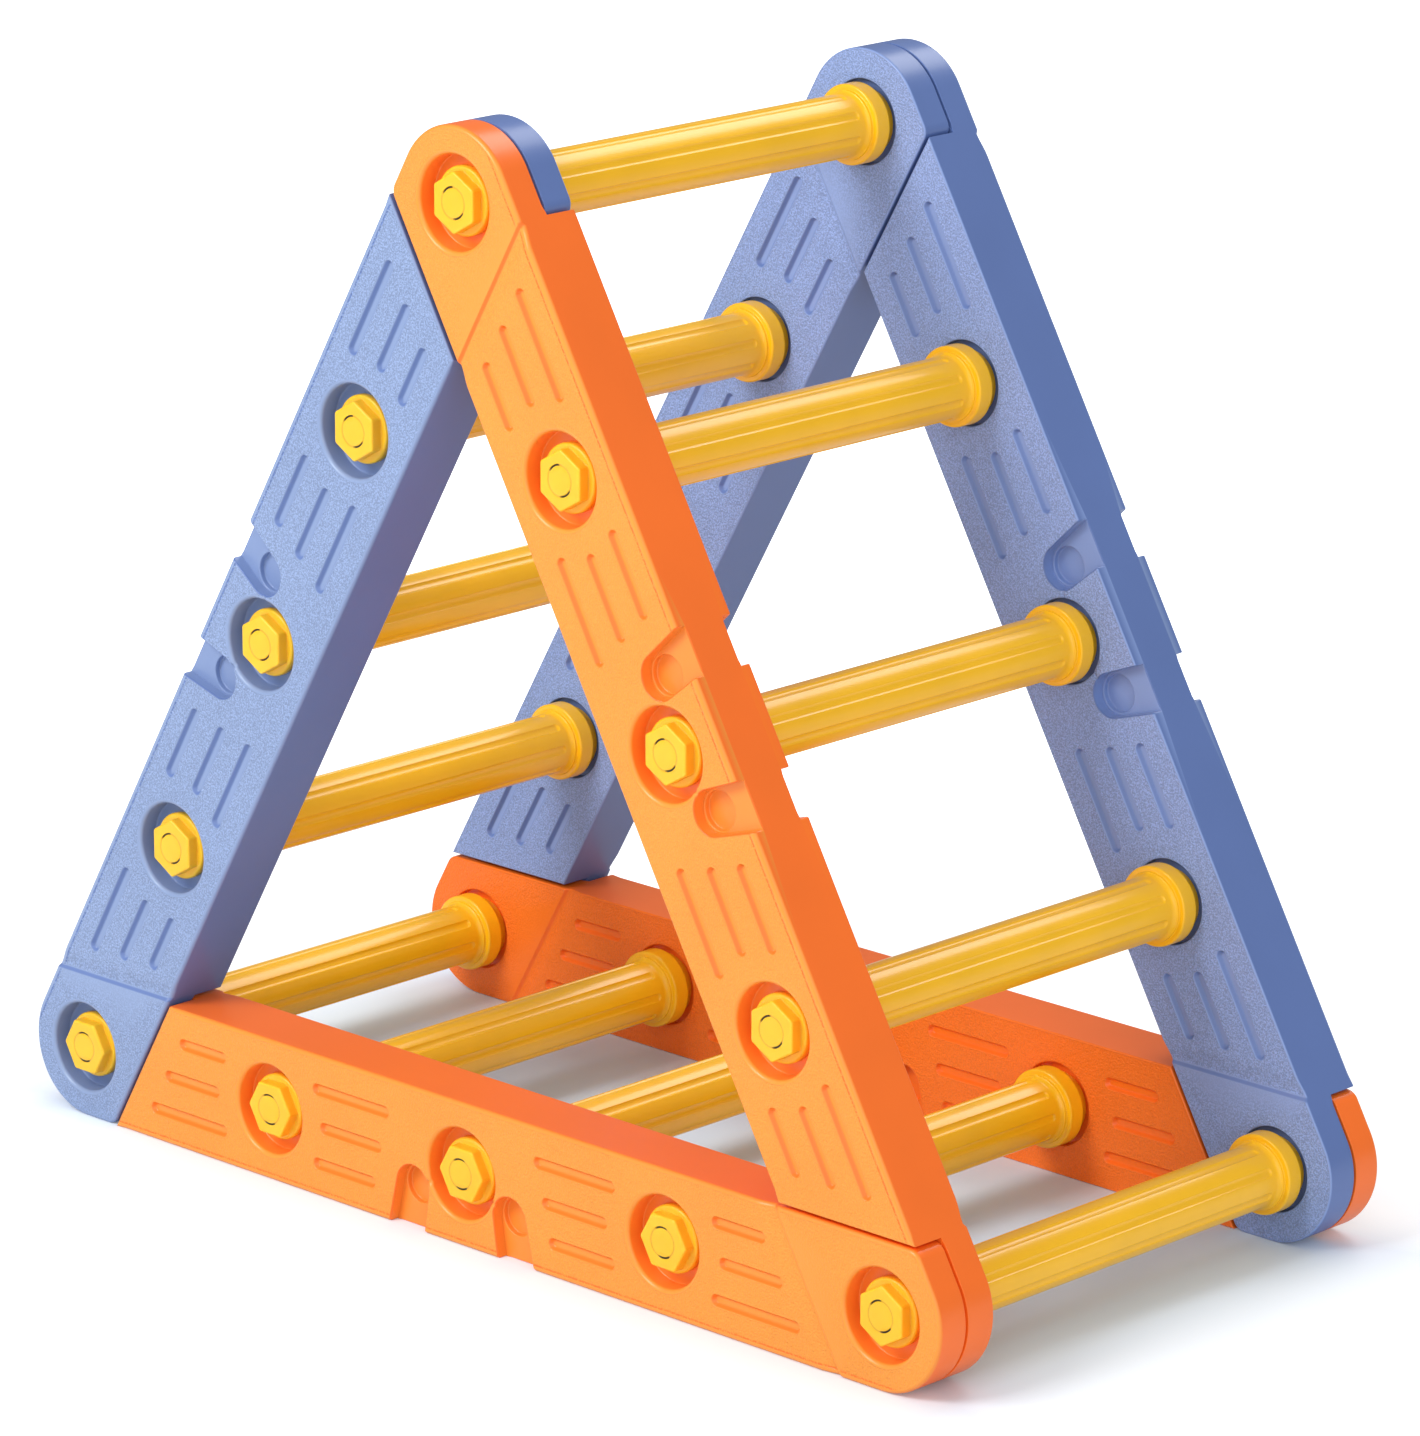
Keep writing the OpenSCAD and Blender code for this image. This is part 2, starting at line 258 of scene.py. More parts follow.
def fill(shell, loops, place, normal, grain=0.0, lines=()):
    """A flat patch: the constrained Delaunay triangles of its outline and holes, and of lines across it."""
    loops = [tidy_loop(loop) for loop in loops]
    points, edges, base = [], [], 0
    for loop in loops:
        n = len(loop)
        points.append(loop)
        edges.append(np.stack([np.arange(n), np.roll(np.arange(n), -1)], 1) + base)
        base += n
    for line in lines:
        n = len(line)
        points.append(line)
        edges.append(np.stack([np.arange(n - 1), np.arange(1, n)], 1) + base)
        base += n
    points = np.concatenate(points)
    flat = [Vector(p) for p in points]
    out, _, tris, _, _, _ = delaunay_2d_cdt(flat, np.concatenate(edges).tolist(), [], 0, 1e-6)
    out = np.array([tuple(v) for v in out])
    tris = np.array(tris)
    a, b, c = (out[tris[:, k]] for k in range(3))
    area = (b[:, 0] - a[:, 0]) * (c[:, 1] - a[:, 1]) - (b[:, 1] - a[:, 1]) * (c[:, 0] - a[:, 0])
    # what lies in the outline and out of the holes, without slivers
    keep = inside(out[tris].mean(1), loops) & (np.abs(area) > 1e-3)
    # the fill keeps the exact coordinates that it was given
    near = np.abs(out[:, None] - points[None]).sum(-1)
    out = points[near.argmin(1)]
    shell.add(place(out), normal, tris[keep], grain)


def at_level(z):
    """What puts flat points at one height."""
    return lambda p: np.concatenate([p, np.full((len(p), 1), z)], -1)


def tidy_loop(loop):
    """The loop without points that repeat the one before."""
    keep = np.abs(loop - np.roll(loop, 1, 0)).sum(1) > 1e-6
    return loop[keep]


def arc(centre, radius, start, end, count, inward=False):
    """Points of an arc, and their normals away from its centre or towards it."""
    turn = np.radians(np.linspace(start, end, count))
    away = np.stack([np.cos(turn), np.sin(turn)], -1)
    return np.array(centre) + radius * away, -away if inward else away


def quarter(radius, count=7):
    """A quarter round: offset back from its edge, height down from its face, and lean."""
    t = np.linspace(0, math.pi / 2, count)
    radius = np.asarray(radius, float)[..., None]
    return -radius * (1 - np.sin(t)), -radius * (1 - np.cos(t)), t + 0 * radius


def edge_grain(shape):
    """Grain down a rounded edge: pebbled at its top, then pale but smooth, and gone at its foot."""
    down = np.interp(np.linspace(0, 1, shape[1]), [0, 0.15, 0.6, 1], [1, PALE, 0.4, 0])
    return np.broadcast_to(down, shape).copy()


def ease(x):
    """Smoothstep from 0 to 1."""
    x = np.clip(x, 0, 1)
    return x * x * (3 - 2 * x)


# Rails
def slant_x(distance, y):
    """x on a line parallel to the shoulder, at a distance from the corner's bolt."""
    return (distance - y * COS_60) / SIN_60


def past_seam(p):
    """How far points lie beyond the seam line, seen from the corner's bolt."""
    return p[:, 0] * SIN_60 + p[:, 1] * COS_60 - SEAM_D


def both_ways(xs, low, high):
    """The places in xs, with those between low and high repeated the same way from the other end."""
    xs = np.asarray(xs, float)
    mine = xs[(xs >= low - 1e-9) & (xs <= high + 1e-9)]
    return distinct(np.concatenate([xs, SIDE - mine]))


def beside(needed, wanted, gap=0.12):
    """All the needed places, and those of the wanted ones that aren't close to one."""
    near = np.abs(wanted[:, None] - needed[None]).min(1) < gap
    return distinct(np.concatenate([needed, wanted[~near]]))


def distinct(xs):
    """The values in order, each once."""
    xs = np.sort(xs)
    return xs[np.concatenate([[True], np.diff(xs) > 1e-6])]


def pocket_outline(side):
    """A pocket seen from above: its round end's middle, its mouth's corners, and its walls' two angles.

    Each wall is the tangent from a corner of the mouth to the round end, and meets it at its angle.
    """
    end = np.array([MID + side * POCKET_END[0], POCKET_END[1]])
    mouth = MID + side * POCKET_MOUTH
    corners, turns = [], []
    for k in (-1, 1):
        corner = np.array([mouth + k * POCKET_MOUTH_HALF, HALF_W])
        gap = corner - end
        corners.append(corner)
        turns.append(math.atan2(gap[1], gap[0]) - k * math.acos(POCKET_R / np.hypot(*gap)))
    return end, corners, turns[0], turns[1] + 2 * math.pi


def pocket(shell, side, edge_r):
    """A pocket. Returns its outline in the face, its notch in the side, and its two ends in the rounding.

    The rounded edge is a quarter round carried along the top of the wall: along the face, down the
    rail's long rounding and down the side, between the normal of the face there and that of the wall.
    """
    end, corners, left, right = pocket_outline(side)
    alpha = np.linspace(0, math.pi / 2, 7)
    down = HALF_W - edge_r + edge_r * np.sin(alpha)
    bow, bow_in = arc(end, POCKET_R, math.degrees(left), math.degrees(right), 57, inward=True)
    walls = []
    for corner, tangent, towards in ((corners[0], bow[0], bow_in[0]), (corners[1], bow[-1], bow_in[-1])):
        share = (HALF_W - down) / (HALF_W - tangent[1])
        high = corner + share[:, None] * (tangent - corner)
        steps = np.linspace(0, 1, 5)[1:-1, None]
        level = high[0] + steps * (tangent - high[0])
        walls.append((high, level, towards))
    (high_l, level_l, in_l), (high_r, level_r, in_r) = walls
    # the edge's path: up the left side, over the rounding, round the end, and back
    edge = [
        (corners[0][None], [-POCKET_DEEP], in_l, [math.pi / 2]),
        (high_l[::-1], -edge_r * (1 - np.cos(alpha[::-1])), in_l, alpha[::-1]),
        (level_l, np.zeros(len(level_l)), in_l, np.zeros(len(level_l))),
        (bow, np.zeros(len(bow)), bow_in, np.zeros(len(bow))),
        (level_r[::-1], np.zeros(len(level_r)), in_r, np.zeros(len(level_r))),
        (high_r, -edge_r * (1 - np.cos(alpha)), in_r, alpha),
        (corners[1][None], [-POCKET_DEEP], in_r, [math.pi / 2]),
    ]
    xy = np.concatenate([e[0] for e in edge])
    z = np.concatenate([np.asarray(e[1], float) for e in edge])
    wall = np.concatenate([np.broadcast_to(e[2], e[0].shape) for e in edge])
    tilt = np.concatenate([np.asarray(e[3], float) for e in edge])
    face_n = np.stack([0 * tilt, np.sin(tilt), np.cos(tilt)], -1)
    wall_n = np.concatenate([wall, np.zeros((len(wall), 1))], -1)
    dot = (face_n * wall_n).sum(-1, keepdims=True)
    over = wall_n - dot * face_n
    over /= np.linalg.norm(over, axis=-1, keepdims=True)
    under = face_n - dot * wall_n
    under /= np.linalg.norm(under, axis=-1, keepdims=True)
    top = np.concatenate([xy, z[:, None]], -1)
    t = np.linspace(0, math.pi / 2, 6)
    points = (top[:, None] - POCKET_EDGE_R * (1 - np.sin(t))[:, None] * over[:, None]
              - POCKET_EDGE_R * (1 - np.cos(t))[:, None] * under[:, None])
    normals = np.sin(t)[:, None] * wall_n[:, None] + np.cos(t)[:, None] * face_n[:, None]
    normals /= np.linalg.norm(normals, axis=-1, keepdims=True)
    grain = np.zeros(points.shape[:2])
    grain[7:-7, 0] = 1.0
    shell.grid(points, normals, grain)
    # the wall, straight down from the rounded edge to the floor
    last = points[1:-1, -1]
    foot = last.copy()
    foot[:, 2] = -POCKET_DEEP
    shell.grid(np.stack([last, foot], 1), np.repeat(wall_n[1:-1, None], 2, 1), HALF_PALE)
    # the floor's rounded edge at the mouth, which fades out at both ends
    a, b = points[0, 0], points[-1, 0]
    share = np.linspace(0, 1, 25)
    x = a[0] + share * (b[0] - a[0])
    radius = MOUTH_EDGE_R * ease((np.minimum(share, 1 - share) - 0.035) / 0.12)
    t = np.linspace(0, math.pi / 2, 5)
    lip = np.stack([np.repeat(x[:, None], 5, 1), HALF_W - radius[:, None] * (1 - np.sin(t)),
                    -POCKET_DEEP - radius[:, None] * (1 - np.cos(t))], -1)
    lip_n = np.broadcast_to(np.stack([0 * t, np.sin(t), np.cos(t)], -1), lip.shape)
    shell.grid(lip, lip_n)
    # the floor, and the round dimple in it
    outline = np.concatenate([lip[:, 0, :2], points[-1, 1:, :2], foot[::-1, :2], points[0, :0:-1, :2]])
    rim_r = DIMPLE_R + DIMPLE_RIM_R
    ring, ring_in = arc(end, DIMPLE_R, 0, 360, 73, inward=True)
    hole = (end + (ring - end) * rim_r / DIMPLE_R)[:-1]
    fill(shell, [outline, hole], at_level(-POCKET_DEEP), (0, 0, 1), FLOOR_GRAIN)
    o, h, l = quarter(DIMPLE_RIM_R, 5)
    k = np.linspace(0, math.pi / 2, 5)
    offsets = np.concatenate([o, DIMPLE_FOOT_R * (1 - np.cos(k)), [DIMPLE_R]])
    heights = np.concatenate([h, -DIMPLE_DEEP + DIMPLE_FOOT_R * (1 - np.sin(k)), [-DIMPLE_DEEP]])
    lean = np.concatenate([l, math.pi / 2 - k, [0.0]])
    sweep(shell, ring, ring_in, offsets, heights - POCKET_DEEP, lean, FLOOR_GRAIN)
    face_part = points[7:-7, 0]
    notch = np.concatenate([points[1:2, 0], lip[:, -1], points[-2:-1, 0]])
    return face_part, notch, points[1:8, 0][::-1], points[-8:-1, 0]


def recess(shell, x, near_pockets, rim_r, wall_grain, wide, deep):
    """A round recess: rounded rim, wall, filleted foot, floor and bolt's hole, carried round a circle."""
    count = 181
    ring, inward = arc((x, 0.0), wide, 0, 360, count, inward=True)
    turn = np.linspace(0, 360, count)
    rim = np.full(count, rim_r)
    if near_pockets:
        for side in (-1, 1):
            aim = math.degrees(math.atan2(POCKET_END[1], side * POCKET_END[0]))
            near = np.exp(-(((turn - aim + 180) % 360 - 180) / RIM_SPREAD) ** 2)
            rim -= (rim_r - min(rim_r, RIM_R_BY_POCKET)) * near
    o, h, l = quarter(rim, 9)
    k = np.linspace(0, math.pi / 2, 5)
    ones = np.ones((count, 1))
    offsets = np.concatenate([o, ones * (FOOT_R * (1 - np.cos(k))), ones * [wide - BORE_R, wide - BORE_R]], 1)
    foot = -deep + FOOT_R * (1 - np.sin(k))
    heights = np.concatenate([h, ones * foot, ones * [-deep, -LAP]], 1)
    lean = np.concatenate([l, ones * (math.pi / 2 - k), ones * [0.0, 0.0]], 1)
    grain = np.full(offsets.shape, wall_grain)
    grain[:, :9] = np.interp(np.arange(9), [0, 1, 5, 8], [1, PALE, PALE, wall_grain])
    sweep(shell, ring, inward, offsets[:, :-1], heights[:, :-1], lean[:, :-1], grain[:, :-1])
    sweep(shell, ring, inward, offsets[:, -2:], heights[:, -2:], [math.pi / 2, math.pi / 2])
    return (ring + o[:, :1] * inward)[:-1]


def slot(shell, x0, x1, y):
    """A soft round-ended slot: a half wave of depth carried round it, closing on its middle line."""
    a, an = arc((x1 - SLOT_HALF, y), SLOT_HALF, -90, 90, 15)
    b, bn = arc((x0 + SLOT_HALF, y), SLOT_HALF, 90, 270, 15)
    path = np.concatenate([a, b, a[:1]])
    outward = np.concatenate([an, bn, an[:1]])
    d = np.array([0, 0.3, 0.6, 0.9, 1.2, 1.55, 1.9, 2.25, SLOT_RUN, 3.3, SLOT_HALF])
    u = np.clip(d / SLOT_RUN, 0, 1)
    depth = -SLOT_DEEP * (1 - np.cos(math.pi * u)) / 2
    slope = -SLOT_DEEP * math.pi / (2 * SLOT_RUN) * np.sin(math.pi * u)
    grain = np.interp(d, SLOT_GRAIN_AT, SLOT_GRAINS)
    sweep(shell, path, outward, -d, depth, np.arctan(slope), grain[None])
    return path[:-1]


def lap_wall(shell, path, outward, top, open_share):
    """A side wall down to the lap's plane: a small rounding, and a rebate that leaves a dark gap."""
    k = np.linspace(0, math.pi / 2, 4)
    bend = LAP_EDGE_R * open_share
    level = -LAP + LAP_GAP * open_share
    deep = -LAP_GAP_DEEP * open_share
    offsets = np.concatenate([0 * deep, -bend * (1 - np.cos(k)), deep], 1)
    heights = np.concatenate([top, level + bend * (1 - np.sin(k)), level], 1)
    lean = np.concatenate([[math.pi / 2], math.pi / 2 + k, [math.pi]])
    sweep(shell, path, outward, offsets, heights, lean)
    heights = np.concatenate([level, 0 * level - LAP], 1)
    return sweep(shell, path, outward, np.concatenate([deep, deep], 1), heights, [math.pi / 2, math.pi / 2])


def half_rail(edge_r, *hollow):
    """The outer half of a rail's thickness, from its lap end to its shoulder.

    Returns points, normals, grain and faces. The other half is the same with other roundings and
    recesses, so both have the same columns along the side where they meet.
    """
    shell = Shell()
    shoulder_top, shoulder_low = (SIDE - slant_x(SHOULDER_D, y) for y in (HALF_W, -HALF_W))
    shoulder_x = SIDE - shoulder_low
    toe_x = (HALF_W - TOE_R) * math.tan(math.radians(30))
    # where the seam line crosses the long edges, sampled finely
    seam_us = np.array([-1.1, -0.9, -0.65, -0.35, 0.0, 0.35, 0.65, 0.9, 1.15, 2.4, 4.2, 6.6, 9.3, 12.0])
    inner = HALF_W - edge_r
    cross_top = slant_x(SEAM_D + seam_us, inner)
    cross_low = slant_x(SEAM_D + seam_us, -inner)
    all_low = [slant_x(SEAM_D + seam_us, r - HALF_W) for r in EDGE_RS]
    fine = np.linspace(-4.8, 5.2, 21)
    needed = np.concatenate([*all_low, [-toe_x, shoulder_x, shoulder_low]])
    wanted = np.concatenate([
        np.linspace(-toe_x, 0, 4)[1:], slant_x(SEAM_D, -HALF_W) + fine,
        shoulder_x + np.array([-6, -4, -2, -1.0]), shoulder_low - np.array([1.5, 3, 4.5, 6, 8.0]),
        np.linspace(100, 500, 17)])
    needed, wanted = (both_ways(xs, shoulder_x, shoulder_low) for xs in (needed, wanted))
    low_x = beside(needed, wanted)
    low_x = low_x[(low_x >= -toe_x - 1e-9) & (low_x <= shoulder_low + 1e-6)]

    n_sh = np.array([SIN_60, -COS_60])
    up, dn = np.array([0.0, 1.0]), np.array([0.0, -1.0])
    miter_low = (dn + n_sh) / (1 + dn @ n_sh)
    miter_top = (up + n_sh) / (1 + up @ n_sh)

    def side_radius(to_corner):
        return SHOULDER_EDGE_R + (edge_r - SHOULDER_EDGE_R) * ease(to_corner / SHOULDER_BLEND)

    # runs of the outline: points, normals, what carries the profile, and the rounding's radius
    head, head_n = arc((0, 0), HALF_W, 90, 210, 61)
    toe, toe_n = arc((-toe_x, TOE_R - HALF_W), TOE_R, 210, 270, 13)
    flank = np.stack([head[-1], toe[0]])
    flank_n = np.repeat(head_n[-1:], 2, 0)
    low = np.stack([low_x, np.full(len(low_x), -HALF_W)], -1)
    low_n = np.repeat(dn[None], len(low), 0)
    low_m = low_n.copy()
    low_m[:, 0] = miter_low[0] * ease((low_x - shoulder_low + 4) / 4)
    share = np.linspace(0, 1, 11)
    low_c, top_c = np.array([shoulder_low, -HALF_W]), np.array([shoulder_top, HALF_W])
    shoulder = low_c + share[:, None] * (top_c - low_c)
    shoulder_n = np.repeat(n_sh[None], len(shoulder), 0)
    shoulder_m = shoulder_n.copy()
    shoulder_m[0], shoulder_m[-1] = miter_low, miter_top
    runs = {
        "head": (head, head_n, head_n, np.full(len(head), edge_r)),
        "flank": (flank, flank_n, flank_n, np.full(2, edge_r)),
        "toe": (toe, toe_n, toe_n, np.full(len(toe), edge_r)),
        "low": (low, low_n, low_m, side_radius(shoulder_low - low_x)),
        "shoulder": (shoulder, shoulder_n, shoulder_m, np.full(len(shoulder), SHOULDER_EDGE_R)),
    }
    outline = []
    for name, (path, outward, carry, radius) in runs.items():
        o, h, l = quarter(radius)
        points = sweep(shell, path, outward, o, h, l, edge_grain(o.shape), carry)
        outline.append(points[:, 0, :2])
        # the wall below, with the gap between two laps where there is a lap
        if name == "low":
            open_share = ease((shoulder_x - path[:, 0]) / LAP_BLEND)
        else:
            open_share = np.full(len(path), 0.0 if name == "shoulder" else 1.0)
        runs[name] = lap_wall(shell, path, outward, -radius[:, None], open_share[:, None])

    # the top edge, which the two pockets open through
    cuts = [pocket(shell, side, edge_r) for side in (-1, 1)]
    lap_end = SIDE - shoulder_top
    spans = [
        (beside(np.concatenate([[0.0, lap_end], cross_top]), np.concatenate([
            [8.0, 16.0], lap_end - np.array([6, 4.5, 3, 1.5]), slant_x(SEAM_D, HALF_W) + fine,
            [70, 120, 170, 210.0]])), None, cuts[0][2]),
        (np.linspace(0, 1, 5), cuts[0][3], cuts[1][2]),
        (SIDE - np.array([230, 180, 130, 80, 50]), cuts[1][3], None),
    ]
    edge_rows, face_rows = [], []
    for k, (xs, start, stop) in enumerate(spans):
        if k == 1:
            xs = start[0, 0] + xs[1:-1] * (stop[0, 0] - start[0, 0])
        radius = np.full(len(xs), edge_r)
        if k == 2:
            tail = shoulder_top - np.array([9, 7, 5.5, 4, 0.0])
            xs = np.concatenate([xs, tail])
            radius = side_radius(shoulder_top - xs)
        o, h, l = quarter(radius)
        carry = np.repeat(up[None], len(xs), 0)
        if k == 2:
            carry[-1] = miter_top
        path = np.stack([xs, np.full(len(xs), HALF_W)], -1)
        flat = path[:, None] + o[..., None] * carry[:, None]
        points = np.concatenate([flat, h[..., None]], -1)
        if start is not None:
            points = np.concatenate([start[None], points])
        if stop is not None:
            points = np.concatenate([points, stop[None]])
        lean = np.broadcast_to(l[:1], points.shape[:2])
        normals = np.stack([0 * lean, np.sin(lean), np.cos(lean)], -1)
        shell.grid(points, normals, edge_grain(points.shape[:2]))
        edge_rows.append(points[:, -1])
        face_rows.append(points[:, 0, :2])

    # the lap's part of the top side, then the rest as one flat patch with the pockets' notches
    first = edge_rows[0]
    lap = first[first[:, 0] <= lap_end + 1e-6]
    open_share = ease((lap_end - lap[:, 0]) / LAP_BLEND)[:, None]
    lap_rows = lap_wall(shell, lap[:, :2], np.repeat(up[None], len(lap), 0), lap[:, 2:], open_share)
    rest = first[first[:, 0] >= lap_end - 1e-6]
    side_loop = np.concatenate([
        rest, cuts[0][1][1:-1], edge_rows[1], cuts[1][1][1:-1], edge_rows[2],
        [[shoulder_top, HALF_W, -LAP], [lap_end, HALF_W, -LAP]]])
    fill(shell, [side_loop[:, [0, 2]]],
         lambda p: np.stack([p[:, 0], np.full(len(p), HALF_W), p[:, 1]], -1), (0, 1, 0))

    # slots, recesses and the outer face between them
    holes = []
    for row, y in enumerate(SLOT_ROWS):
        ends = [(slant_x(SEAM_D, y) + SLOT_SEAM_GAP, CORNER_STEP - SLOT_BOLT_GAPS[row]),
                (CORNER_STEP + SLOT_BOLT_GAPS[row], MID - SLOT_MID_REACHES[row])]
        for x0, x1 in ends:
            holes.append(slot(shell, x0, x1, y))
            holes.append(slot(shell, SIDE - x1, SIDE - x0, y))
    for x in (0.0, *HOLES):
        holes.append(recess(shell, x, x == MID, *hollow))
    face = np.concatenate([
        *outline, face_rows[2][::-1], cuts[1][0][::-1, :2], face_rows[1][::-1],
        cuts[0][0][::-1, :2], face_rows[0][::-1]])
    share = np.linspace(0, 1, 41)[:, None]
    starts, stops = (np.stack([xs, np.full(len(xs), y)], -1)
                     for xs, y in ((cross_top, inner), (cross_low, -inner)))
    lines = [a + share * (b - a) for a, b in zip(starts, stops)]
    fill(shell, [face, *holes], at_level(0.0), (0, 0, 1), 1.0, lines)

    # the lap's underside, up to the other half's shoulder, round its bolt's hole
    mirrored = shoulder.copy()
    mirrored[:, 0] = SIDE - mirrored[:, 0]
    low_lap = runs["low"][runs["low"][:, 0, 0] <= shoulder_x + 1e-6]
    under = np.concatenate([lap_rows[::-1, -1, :2], runs["head"][:, -1, :2], runs["flank"][:, -1, :2],
                            runs["toe"][:, -1, :2], low_lap[:, -1, :2], mirrored])
    bore, _ = arc((0, 0), BORE_R, 0, 360, 181)
    fill(shell, [under, bore[:-1]], at_level(-LAP), (0, 0, -1))
    return shell.arrays()


def groove(points, normals, grain):
    """Presses the seam, and the saddles between the pockets and the middle recess, into the face.

    The seam is a soft step away from the corner's bolt, then a long ramp back up. A saddle is a bell
    across its line. The normals lean with the depth's slope. Along the seam line the grain is cut, which
    paints shade into its groove.
    """
    def depth(p):
        off = past_seam(p)
        step = ease((off + SEAM_HALF) / (2 * SEAM_HALF)) * (1 - ease((off - SEAM_HALF) / SEAM_RAMP))
        down = -SEAM_DEEP * step
        for side in (-1, 1):
            aim = np.array([side * POCKET_END[0], POCKET_END[1]]) / math.hypot(*POCKET_END)
            along = (p[:, 0] - MID) * aim[0] + p[:, 1] * aim[1]
            across = -(p[:, 0] - MID) * aim[1] + p[:, 1] * aim[0]
            near = ease((along - SADDLE_FROM) / 2) * ease((SADDLE_TO - along) / 2)
            down = down - SADDLE_DEEP * np.exp(-((across / SADDLE_HALF) ** 2)) * near
        return down

    # painted shade: the seam's grain, and so its paleness, falls to a tenth along its line
    def tone(p):
        return 1 - SEAM_PAINTED_SHADE * np.exp(-((past_seam(p) / SEAM_HALF) ** 4))

    # in full down to 3 mm below the face, and gone 6 mm below it
    keep = np.clip((points[:, 2] + 6.0) / 3.0, 0, 1)
    flat = points[:, :2]
    step = 1e-4
    slope = np.stack([(depth(flat + [step, 0]) - depth(flat - [step, 0])) / (2 * step),
                      (depth(flat + [0, step]) - depth(flat - [0, step])) / (2 * step)], -1) * keep[:, None]
    moved = points.copy()
    moved[:, 2] += depth(flat) * keep
    leaned = normals.copy()
    leaned[:, :2] -= slope * normals[:, 2:]
    leaned /= np.linalg.norm(leaned, axis=1, keepdims=True)
    return moved, leaned, np.where(keep > 0, grain * tone(flat), grain)


def weld(points, normals, grain, faces):
    """Joins points that coincide, drops closed-up faces, and turns each face to agree with its normals."""
    keys, index = np.unique(cell(points), axis=0, return_inverse=True)
    index = index.reshape(-1)
    welded = np.zeros((len(keys), 3))
    welded[index] = points
    grains = np.zeros(len(keys))
    np.maximum.at(grains, index, grain)
    tris = index[faces]
    corner = normals[faces]
    real = real_faces(tris)
    tris, corner = tris[real], corner[real]
    a, b, c = (welded[tris[:, k]] for k in range(3))
    wrong = (np.cross(b - a, c - a) * corner.sum(1)).sum(1) < 0
    tris[wrong] = tris[wrong][:, ::-1]
    corner[wrong] = corner[wrong][:, ::-1]
    return welded, grains, tris, corner


def make(name, points, tris, masks, material, node, corner=None, sharp=40):
    """Puts a skin, in millimetres, into a mesh of its own.

    Its normals are those given at each corner of each face, or else smooth up to the sharp angle.
    """
    mesh = bpy.data.meshes.new(name)
    mesh.from_pydata((points / 1000).tolist(), [], tris.tolist())
    mesh.polygons.foreach_set("use_smooth", np.ones(len(tris), bool))
    for mask, values in masks.items():
        attribute = mesh.attributes.new(mask, "FLOAT", "POINT")
        attribute.data.foreach_set("value", values.astype(np.float32))
    if corner is None:
        mesh.set_sharp_from_angle(angle=math.radians(sharp))
    else:
        mesh.normals_split_custom_set(corner.reshape(-1, 3).tolist())
    piece = bpy.data.objects.new(name, mesh)
    bpy.context.scene.collection.objects.link(piece)
    mesh.materials.append(material)
    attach(piece, "root")
    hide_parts(node)
    return piece


def lathe(points, mask):
    """Joins a grid (round, along), closed on itself and at two poles, into one skin facing outwards."""
    shell = Shell()
    shell.grid(points, points, mask)
    points, _, mask, faces = shell.arrays()
    _, first, index = np.unique(cell(points), axis=0, return_index=True, return_inverse=True)
    points, mask = points[first], mask[first]
    tris = index.reshape(-1)[faces]
    tris = tris[real_faces(tris)]
    a, b, c = (points[tris[:, k]] for k in range(3))
    if (np.cross(a, b) * c).sum() < 0:
        tris = tris[:, ::-1]
    return points, tris, mask


def rail_skin():
    """A whole rail: the outer half, and the same half turned over end to end for the inner one."""
    halves = []
    for sizes in zip(EDGE_RS, RIM_RS, WALL_GRAINS, RECESS_RS, RECESS_DEEPS):
        points, normals, grain, faces = half_rail(*sizes)
        points, normals, grain = groove(points, normals, grain)
        if halves:
            points = points * [-1, 1, -1] + [SIDE, 0, -THICK]
            normals = normals * [-1, 1, -1]
            faces = faces + len(halves[0][0])
        halves.append((points, normals, grain, faces))
    return weld(*(np.concatenate(part) for part in zip(*halves)))


def rail_to_world(vectors, rail, rear, moved):
    """Turns a rail's own x, y, z into the frame's X, Y, Z, mirrored in Y for the rear one."""
    turn, (x, z) = RAILS[rail]
    turn = math.radians(turn)
    rows = np.array([[math.cos(turn), 0, -math.sin(turn)], [math.sin(turn), 0, math.cos(turn)], [0, -1, 0]])
    out = vectors @ rows
    if moved:
        out = out + [x, -DEPTH / 2, z]
    if rear:
        out = out * [1, -1, 1]
    return out


# Rungs
def round_over(centre, radius, start, end, count=5):
    """Radius and place along the axis of an arc in the outline of something turned."""
    t = np.radians(np.linspace(start, end, count))
    return np.stack([centre[0] + radius * np.cos(t), centre[1] + radius * np.sin(t)], -1)


def rung_outline():
    """Half of a rung's outline: socket, neck, collar, lip and flare, then the barrel to its middle."""
    into = np.array([0.1, 0.25, 0.45, 0.7, 1.0, 1.35, 1.75, 2.2, 2.7, 3.4, 4.2, 5.2])
    barrel = np.concatenate([FLUTE_TIP + np.array([1.0, 0.4, 0.1]), FLUTE_TIP - into,
                             [100, 85, 68, 51, 34, 17, 0.0]])
    return np.concatenate([
        [[0.0, NECK_END - SOCKET_DEEP], [SOCKET_R, NECK_END - SOCKET_DEEP], [SOCKET_R, NECK_END]],
        round_over((NECK_R - 0.6, NECK_END - 0.6), 0.6, 90, 0, 4),
        round_over((NECK_R + 0.6, COLLAR_BACK + 0.6), 0.6, 180, 270, 4),
        round_over((COLLAR_R - 0.5, COLLAR_BACK - 0.5), 0.5, 90, 0, 5),
        [[COLLAR_R, COLLAR_BACK - 1.0], [COLLAR_R, COLLAR_FRONT + 1.6]],
        round_over((COLLAR_R - 1.2, COLLAR_FRONT + 1.2), 1.2, 0, -90, 7),
        round_over((LIP_R + 0.5, COLLAR_FRONT - 0.5), 0.5, 90, 180, 4),
        [[LIP_R, COLLAR_FRONT - 0.8], [LIP_R, COLLAR_FRONT - 1.0]],
        round_over((LIP_R - 0.6, COLLAR_FRONT - 1.2), 0.6, 0, -80, 5),
        round_over((RUNG_R + FLARE_R, COLLAR_FRONT - 4.78), FLARE_R, 134.6, 180, 9),
        np.stack([np.full(len(barrel), RUNG_R), barrel], -1),
    ])


